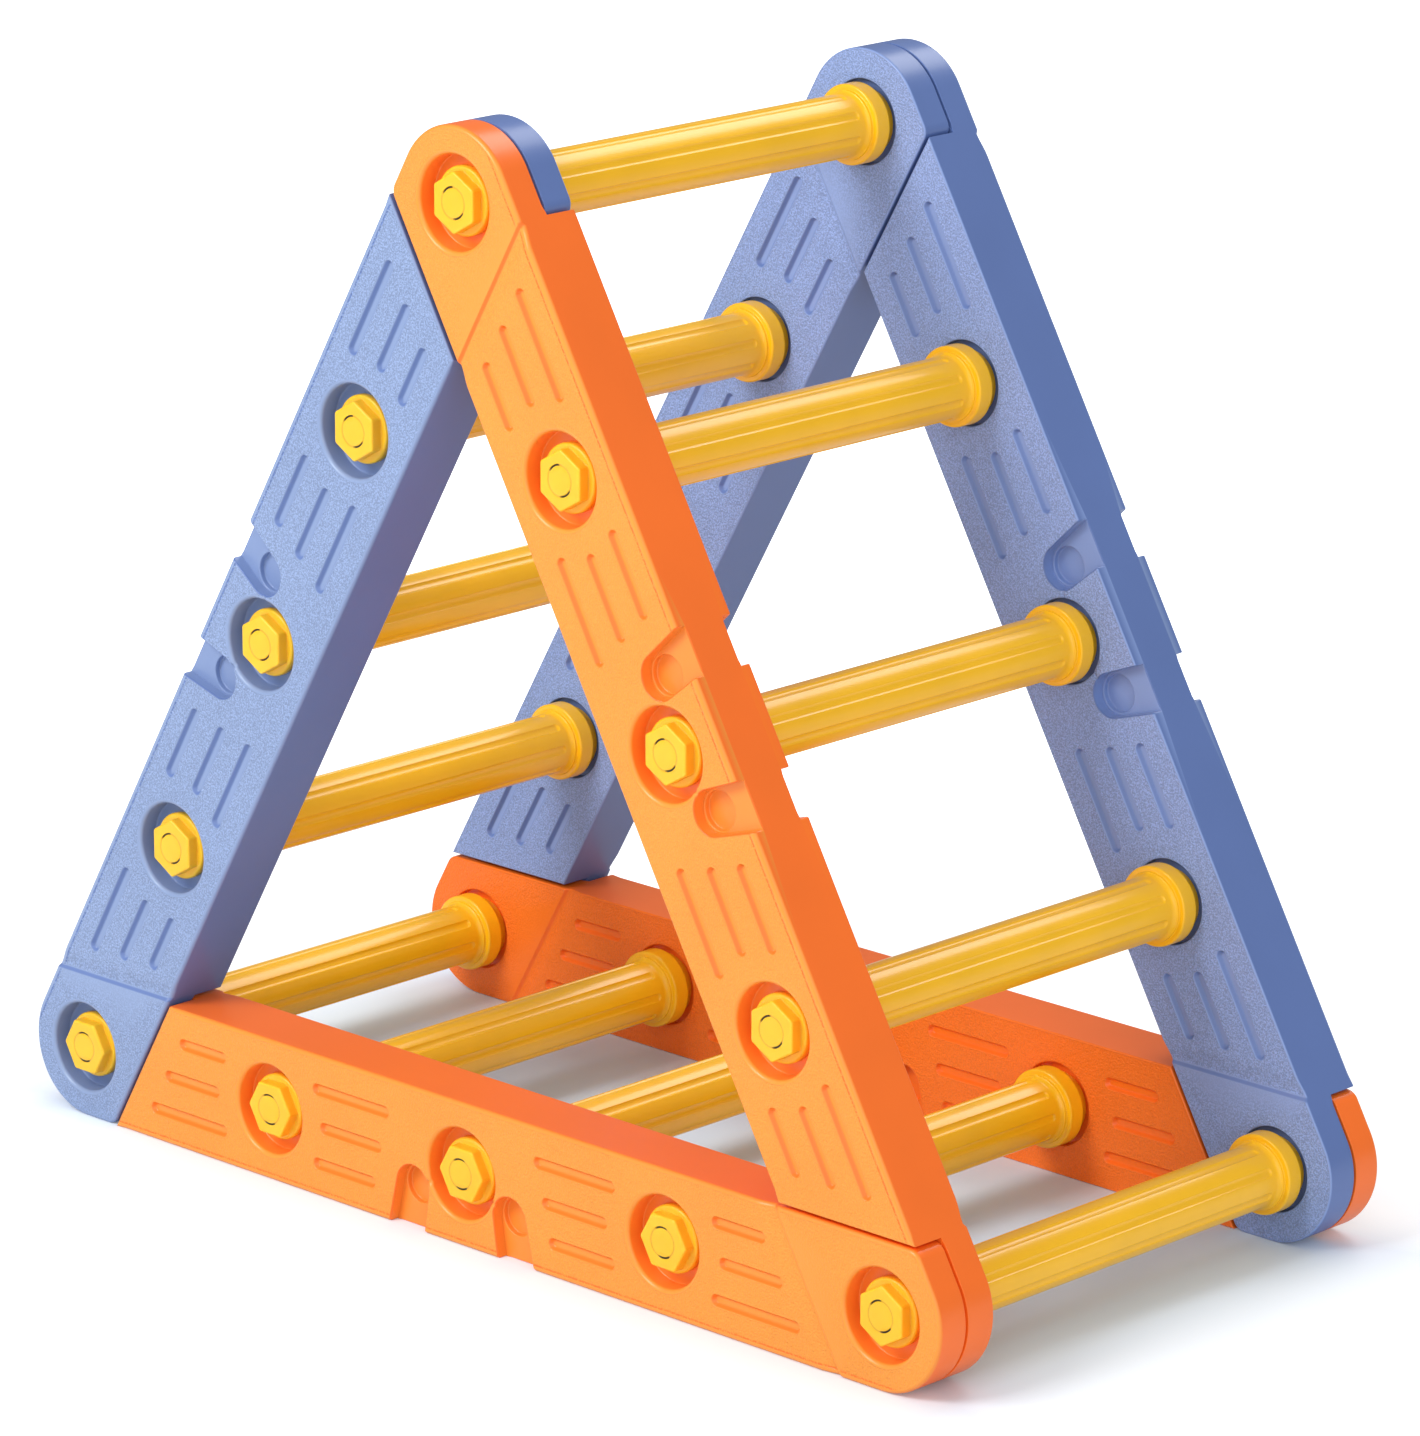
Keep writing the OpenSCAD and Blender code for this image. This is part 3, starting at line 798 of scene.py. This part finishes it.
def rung_skin(flutes):
    """A rung turned round its axis, with its flutes pressed in and a small nub raised at each collar.

    A flute's depth falls off with the cube of the distance from its middle line, to nothing at its edge.
    """
    half = rung_outline()
    rows = np.concatenate([half, half[-2::-1] * [1, -1]])
    edge = math.degrees(FLUTE_HALF / RUNG_R)
    part = np.concatenate([
        edge * np.array([0, 0.25, 0.5, 0.68, 0.82, 0.92, 1.0]), edge + np.array([0.5, 1.5, 4, 9])])
    sector = np.concatenate([-part[:0:-1], part, [22.5]])
    turn = np.radians((flutes + sector[None] + 45 * np.arange(8)[:, None]).reshape(-1))
    turn = np.append(turn, turn[0] + 2 * math.pi)
    from_flute = np.append(np.tile(np.radians(sector), 8), np.radians(sector[0]))
    radius, along = rows[:, 0], rows[:, 1]
    past = np.maximum(0, np.abs(along) - (FLUTE_TIP - FLUTE_HALF))
    away = np.hypot(RUNG_R * from_flute[:, None], past[None])
    pressed = FLUTE_DEEP * (1 - np.clip(away / FLUTE_HALF, 0, 1) ** 3) * (radius == RUNG_R)[None]
    off = RUNG_R * np.angle(np.exp(1j * (turn[:, None] - np.radians(NUB_TURN))))
    past = np.abs(along) - COLLAR_FRONT + NUB_BACK
    near = np.exp(-((past / NUB_SPREAD[1]) ** 4))[None]
    raised = NUB_HIGH * np.exp(-((off / NUB_SPREAD[0]) ** 4)) * near
    r = radius[None] - pressed + raised * (radius < LIP_R + 0.3)[None]
    along = np.repeat(along[None], len(turn), 0)
    return lathe(np.stack([r * np.cos(turn)[:, None], along, r * np.sin(turn)[:, None]], -1), 0.0)


# Bolts
def hexagon(across, corner, turn):
    """A hexagon's points and outward normals, with arcs for corners and straight flats between them."""
    arcs = math.radians(60) * np.arange(6) + math.radians(turn)
    reach = (across / 2 - corner) / math.cos(math.radians(30))
    share = np.linspace(-30, 30, 7)
    turns = arcs[:, None] + np.radians(share)[None]
    away = np.stack([np.cos(turns), np.sin(turns)], -1)
    centre = reach * np.stack([np.cos(arcs), np.sin(arcs)], -1)
    bend = centre[:, None] + corner * away
    following = np.roll(bend, -1, 0)
    steps = np.linspace(0, 1, 10)[1:-1, None]
    flats = bend[:, -1:, :] + steps[None] * (following[:, :1, :] - bend[:, -1:, :])
    flat_n = np.repeat(away[:, -1:, :], 8, 1)
    points = np.concatenate([bend, flats], 1).reshape(-1, 2)
    normals = np.concatenate([away, flat_n], 1).reshape(-1, 2)
    return np.concatenate([points, points[:1]]), np.concatenate([normals, normals[:1]])


def bolt_skin(turn, mark):
    """A bolt from the middle of its hexagon's face, over the flange and down the shank to its tip.

    The first rows are circles, the next carry a rounded profile round the hexagon, and the rest are
    circles again. The round mark is a fine groove that deepens to a notch on two opposite sides; its bottom
    rows carry a painted shade mask, faint round the ring and full in the notches.
    """
    hexa, hexa_n = hexagon(HEX_AF, HEX_CORNER_R, turn)
    floor = -RECESS_DEEPS[0]
    angle = np.arctan2(hexa[:, 1], hexa[:, 0])
    ray = np.stack([np.cos(angle), np.sin(angle)], -1)
    rows = []

    def ring(radius, height):
        height = np.broadcast_to(height, (len(ray),))
        rows.append(np.concatenate([ray * radius, height[:, None]], -1))

    def around(offset, height):
        rows.append(np.concatenate([hexa + offset * hexa_n, np.full((len(hexa), 1), height)], -1))

    to_notch = np.abs(np.angle(np.exp(2j * (angle - math.radians(mark))))) / 2
    notch = 1 - ease((to_notch - math.radians(20)) / math.radians(14))
    deep = MARK_DEEP + NOTCH_DEEP * notch
    ring(0.0, 0.0)
    ring(5.0, 0.0)
    for back, share in ((1.4, 0.0), (1.2, 0.25), (1.0, 0.9), (0.4, 1.0), (0.2, 0.85), (0.0, 0.0)):
        ring(MARK_R - back, -deep * share)
    ring(MARK_R + 0.7, 0.0)
    around(-1.8, 0.0)
    for t in np.linspace(0, math.pi / 2, 6):
        around(-HEX_EDGE_R * (1 - math.sin(t)), -HEX_EDGE_R * (1 - math.cos(t)))
    around(0.0, -1.8)
    around(0.0, -HEX_DEEP + 0.8)
    for t in np.linspace(0, math.pi / 2, 4):
        around(HEX_FOOT_R * (1 - math.cos(t)), -HEX_DEEP + HEX_FOOT_R * (1 - math.sin(t)))
    for t in np.linspace(0, math.pi / 2, 7):
        ring(FLANGE_R - FLANGE_EDGE_R * (1 - math.sin(t)), -HEX_DEEP - FLANGE_EDGE_R * (1 - math.cos(t)))
    ring(FLANGE_R, -HEX_DEEP - 2.2)
    ring(FLANGE_R, floor + 0.6)
    ring(FLANGE_R - 0.3, floor + 0.05)
    ring(SHANK_R + 0.8, floor + 0.05)
    ring(SHANK_R, floor - 0.6)
    ring(SHANK_R, -SHANK_END + 1.5)
    ring(SHANK_R - 1.2, -SHANK_END + 0.2)
    ring(0.0, -SHANK_END + 0.2)
    points = np.stack(rows, 1)
    # painted shade in the mark's groove: a quarter round the ring, full in the notches
    dark = np.zeros(points.shape[:2])
    dark[:, 4:7] = (0.25 + 0.75 * notch)[:, None]
    return lathe(points, dark)


# Materials
def feed(node, inputs):
    """Gives each input of a node a constant, or a link from another node's output."""
    for key, value in inputs.items():
        if isinstance(value, bpy.types.NodeSocket):
            node.id_data.links.new(value, node.inputs[key])
        else:
            node.inputs[key].default_value = value


def add(tree, kind, inputs=None, **settings):
    """Adds a node, with its settings and its inputs. Returns its outputs."""
    node = tree.nodes.new(kind)
    for name, value in settings.items():
        setattr(node, name, value)
    feed(node, inputs or {})
    return node.outputs


def maths(tree, operation, *terms, **settings):
    """A sum, product or the like of constants and outputs."""
    return add(tree, "ShaderNodeMath", dict(enumerate(terms)), operation=operation, **settings)[0]


def ramp(tree, value, low, high, start=0.0, end=1.0, **settings):
    """Start where a value is low or less, end where it is high or more, and even steps between."""
    inputs = {"Value": value, "From Min": low, "From Max": high, "To Min": start, "To Max": end}
    return add(tree, "ShaderNodeMapRange", inputs, **settings)[0]


def mix(tree, factor, first, second):
    """A mix of two colours."""
    return add(tree, "ShaderNodeMix", {"Factor": factor, 6: first, 7: second}, data_type="RGBA")[2]


def toned(tree, colour, value):
    """A colour, darker or lighter."""
    return add(tree, "ShaderNodeHueSaturation", {"Color": colour, "Value": value})["Color"]


def place_on(tree):
    """The place on the object, in its own metres."""
    return add(tree, "ShaderNodeTexCoord")["Object"]


def attribute(tree, name):
    """One of the mesh's own values."""
    return add(tree, "ShaderNodeAttribute", attribute_name=name)["Fac"]


def clouds(tree, scale):
    """Slow noise, and the slight drift of the tone over a moulding that it gives."""
    noise = add(tree, "ShaderNodeTexNoise", {"Vector": place_on(tree), "Scale": scale, "Detail": 2.0})["Fac"]
    return noise, ramp(tree, noise, 0.3, 0.7, 0.97, 1.03)


def start(name):
    """A new material, its node tree and its shader."""
    material = bpy.data.materials.new(name)
    material.use_nodes = True
    return material, material.node_tree, material.node_tree.nodes["Principled BSDF"]


def moulded_polyethylene(name, smooth, grained_and_sheen, inner, glint_speckle):
    """Rotomoulded polyethylene: a pebbled face, paler where pebbled (partly the grain's own scatter, partly a
    painted sheen), painted shade on the faces inside the frame, and satin sides.
    """
    material, tree, shader = start(name)
    where = place_on(tree)
    grain, rim, side = (attribute(tree, mask) for mask in ("grain", "rim", "inner"))
    # pebbles about 1.1 mm across, except on a smooth band some 3 mm wide along the outer long edge
    pebbles = add(tree, "ShaderNodeTexVoronoi", {"Vector": where, "Scale": 900.0, "Smoothness": 0.6},
                  feature="SMOOTH_F1")["Distance"]
    face = ramp(tree, grain, 0.55, 0.95)
    pebbled = maths(tree, "MULTIPLY", face, ramp(tree, rim, 2.9, 3.5))
    height = maths(tree, "MULTIPLY", pebbles, pebbled)
    bump = add(tree, "ShaderNodeBump", {"Height": height, "Strength": 0.8, "Distance": 0.0006},
               invert=True)["Normal"]
    # painted glints: the pebbles' tops lighter and the flecks between darker, in squiggles about 1 mm long,
    # and the tone drifts over some 60 mm
    fleck = add(tree, "ShaderNodeTexNoise",
                {"Vector": where, "Scale": 1050.0, "Detail": 1.0, "Distortion": 0.6})["Fac"]
    glint_fleck = ramp(tree, fleck, 0.42, 0.62, 1.0 - glint_speckle, 1.0 + glint_speckle)
    glint_flecks = add(tree, "ShaderNodeMix", {"Factor": pebbled, "A": 1.0, "B": glint_fleck})[0]
    value = maths(tree, "MULTIPLY", glint_flecks, clouds(tree, 16.0)[1])
    # where the smooth band ends, 3.7 mm from the edge, runs a row of darker dots
    off = maths(tree, "ABSOLUTE", maths(tree, "SUBTRACT", rim, 3.7))
    dots = maths(tree, "MULTIPLY", ramp(tree, off, 0.3, 0.8, 1.0, 0.0), ramp(tree, pebbles, 0.25, 0.5))
    dotted = maths(tree, "MULTIPLY", dots, face)
    paleness = maths(tree, "SUBTRACT", ramp(tree, grain, 0.0, PALE), dotted, use_clamp=True)
    # painted shade: the faces inside the frame get a deeper, more saturated copy of the pebbled colour, for
    # the shade they lie in
    pebbled_with_inside_shade = mix(tree, side, linear(grained_and_sheen), linear(inner))
    colour = toned(tree, mix(tree, paleness, linear(smooth), pebbled_with_inside_shade), value)
    feed(shader, {"Base Color": colour, "Roughness": ramp(tree, pebbled, 0.0, 1.0, 0.32, 0.55),
                  "IOR": 1.5, "Specular IOR Level": 0.45, "Normal": bump})
    return material


def glossy_polypropylene(name, colour):
    """Injection-moulded polypropylene of the rungs: clean, even and glossy."""
    material, tree, shader = start(name)
    cloud, tone = clouds(tree, 30.0)
    feed(shader, {"Base Color": toned(tree, linear(colour), tone),
                  "Roughness": ramp(tree, cloud, 0.0, 1.0, 0.26, 0.34),
                  "IOR": 1.5, "Specular IOR Level": 0.5, "Coat Weight": 0.15, "Coat Roughness": 0.1})
    return material


def satin_nylon(name, colour, groove_shade_colour):
    """Moulded nylon of the bolts: satin, with painted shade in the round mark's groove, darkest in its two
    notches.
    """
    material, tree, shader = start(name)
    cloud, tone = clouds(tree, 60.0)
    groove_shaded = mix(tree, attribute(tree, "notch"), linear(colour), linear(groove_shade_colour))
    feed(shader, {"Base Color": toned(tree, groove_shaded, tone),
                  "Roughness": ramp(tree, cloud, 0.0, 1.0, 0.34, 0.44),
                  "IOR": 1.5, "Specular IOR Level": 0.45, "Subsurface Weight": 0.6,
                  "Subsurface Scale": 0.004, "Subsurface Radius": (1.0, 0.7, 0.2)})
    return material


# colours: smooth sides; the pebbled face, paler, partly painted sheen; faces inside the frame, a
# painted-shade copy; then the painted glint flecks' strength
orange = moulded_polyethylene("orange_polyethylene", "#FF7420", "#F3983A", "#FF7A1C", 0.06)
blue = moulded_polyethylene("blue_polyethylene", "#6077AE", "#8A9DC3", "#8AA0D2", 0.2)
gold = glossy_polypropylene("gold_polypropylene", "#FFC010")
# its second colour is the painted shade in the bolt mark's groove
lemon = satin_nylon("lemon_nylon", "#FFC128", "#1E1402")

# The pieces
BLUE = ("front_left_rail", "rear_right_rail", "rear_left_rail")
points, grain, tris, corner = rail_skin()
outer = points[:, 2] > -LAP
# inner marks the faces inside the frame, which take the painted-shade colour
masks = {"grain": grain, "rim": np.where(outer, HALF_W - points[:, 1], HALF_W),
         "inner": (points[:, 2] < -LAP - 1) * 1.0}
for end in ("front", "rear"):
    rear = end == "rear"
    faces, leaned = (tris[:, ::-1], corner[:, ::-1]) if rear else (tris, corner)
    for rail in RAILS:
        node = end + "_" + rail
        plastic, slot_name = (blue, "blue_rail") if node in BLUE else (orange, "orange_rail")
        make(node + "_skin", rail_to_world(points, rail, rear, True), faces, masks, plastic,
             node, rail_to_world(leaned, rail, rear, False))

for rung, (rail, along, flutes, turn, mark) in RUNGS.items():
    x, z = rail_point(rail, along)
    points, tris, _ = rung_skin(flutes)
    make(rung + "_skin", points + [x, 0, z], tris, {}, gold, rung)
    # the bolt's notch mask is the painted shade in its mark's groove
    points, tris, notch = bolt_skin(turn, mark)
    points = points[:, [0, 2, 1]] * [1, -1, 1]
    for end in ("front", "rear"):
        side = 1 if end == "front" else -1
        placed = (points + [0, -DEPTH / 2, 0]) * [1, side, 1] + [x, 0, z]
        node = end + "_bolt_" + rung
        make(node + "_skin", placed, tris[:, ::side], {"notch": notch}, lemon, node, sharp=50)

# The camera, fitted to the photograph. Its first three lines are in pixels, and its place is in metres
PHOTO_W, PHOTO_H = 1420, 1436
CENTRE = (702.40, 741.87)
FOCAL = 6903.75
EYE = (2.4700, -2.54934, 1.26127)
AZ, EL, ROLL = (math.radians(v) for v in (43.982, 16.032, 0.144))
back = Vector((math.sin(AZ) * math.cos(EL), -math.cos(AZ) * math.cos(EL), math.sin(EL)))
level = Vector((math.cos(AZ), math.sin(AZ), 0))
right = level * math.cos(ROLL) + back.cross(level) * math.sin(ROLL)
up = back.cross(right)
scene = bpy.context.scene
lens = bpy.data.cameras.new("camera")
lens.sensor_width = 36
lens.lens = FOCAL * lens.sensor_width / PHOTO_H
lens.shift_x = (PHOTO_W / 2 - CENTRE[0]) / PHOTO_H
lens.shift_y = (CENTRE[1] - PHOTO_H / 2) / PHOTO_H
lens.clip_end = 50
camera = bpy.data.objects.new("camera", lens)
scene.collection.objects.link(camera)
rows = Matrix((right, up, back)).transposed().to_4x4()
rows.translation = Vector(EYE)
camera.matrix_world = rows
scene.camera = camera
scene.view_settings.view_transform = "Standard"

# A pale floor, white to the camera, with a painted shadow under the frame: cooler and darker there, and with
# less lift to the camera
FLOOR_HALF = 9
PAINTED_SHADOW_REACH = (0.30, 0.14)
PAINTED_SHADOW_TONE, OPEN_TONE = (0.66, 0.79, 0.91, 1), (0.86, 0.87, 0.88, 1)
floor_mesh = bpy.data.meshes.new("floor")
ends = [(x * FLOOR_HALF, y * FLOOR_HALF, 0) for x, y in ((-1, -1), (1, -1), (1, 1), (-1, 1))]
floor_mesh.from_pydata(ends, [], [(0, 1, 2, 3)])
floor = bpy.data.objects.new("floor", floor_mesh)
scene.collection.objects.link(floor)
paint, tree, shader = start("floor_paint")
places = add(tree, "ShaderNodeSeparateXYZ", {"Vector": place_on(tree)})
shares = [maths(tree, "DIVIDE", maths(tree, "ABSOLUTE", places[k]), PAINTED_SHADOW_REACH[k]) for k in (0, 1)]
widest = maths(tree, "MAXIMUM", *shares)
outside = ramp(tree, widest, 0.85, 1.6, interpolation_type="SMOOTHSTEP")
glow = maths(tree, "MULTIPLY", add(tree, "ShaderNodeLightPath")["Is Camera Ray"], outside)
glow = maths(tree, "MULTIPLY", glow, ramp(tree, widest, 1.6, 5.0, 0.32, 0.9))
feed(shader, {"Base Color": mix(tree, outside, PAINTED_SHADOW_TONE, OPEN_TONE), "Roughness": 1.0,
              "Specular IOR Level": 0.0, "Emission Color": (1, 1, 1, 1), "Emission Strength": glow})
floor_mesh.materials.append(paint)

# Even daylight all round, a soft key from the front, a rim light from behind and a fill from the right
DAYLIGHT, MIRRORED, BACKDROP = 0.55, 0.25, 1.1
LAMPS = (("key", 45, 1.1, (-0.5, -2.1, 1.9)), ("rim", 30, 1.5, (-0.3, 2.2, 2.6)))
AIM = Vector((0, 0, 0.35))
FILL_FROM = Vector((0.78, -0.55, 0.3))
world = bpy.data.worlds.new("sky")
scene.world = world
world.use_nodes = True
tree = world.node_tree
ray = add(tree, "ShaderNodeLightPath")
dim = ramp(tree, ray["Is Glossy Ray"], 0.0, 1.0, DAYLIGHT, MIRRORED)
strength = add(tree, "ShaderNodeMix", {"Factor": ray["Is Camera Ray"], "A": dim, "B": BACKDROP})[0]
feed(tree.nodes["Background"], {"Color": (0.97, 0.985, 1.02, 1), "Strength": strength})
sun = bpy.data.lights.new("fill", "SUN")
sun.energy = 1.0
sun.angle = math.radians(60)
sun.color = (0.9, 0.95, 1.0)
lamp = bpy.data.objects.new("fill", sun)
lamp.rotation_euler = FILL_FROM.to_track_quat("Z", "Y").to_euler()
scene.collection.objects.link(lamp)
for name, energy, size, place in LAMPS:
    panel = bpy.data.lights.new(name, "AREA")
    panel.shape = "SQUARE"
    panel.size = size
    panel.energy = energy
    lamp = bpy.data.objects.new(name, panel)
    lamp.location = place
    lamp.rotation_euler = (Vector(place) - AIM).to_track_quat("Z", "Y").to_euler()
    scene.collection.objects.link(lamp)
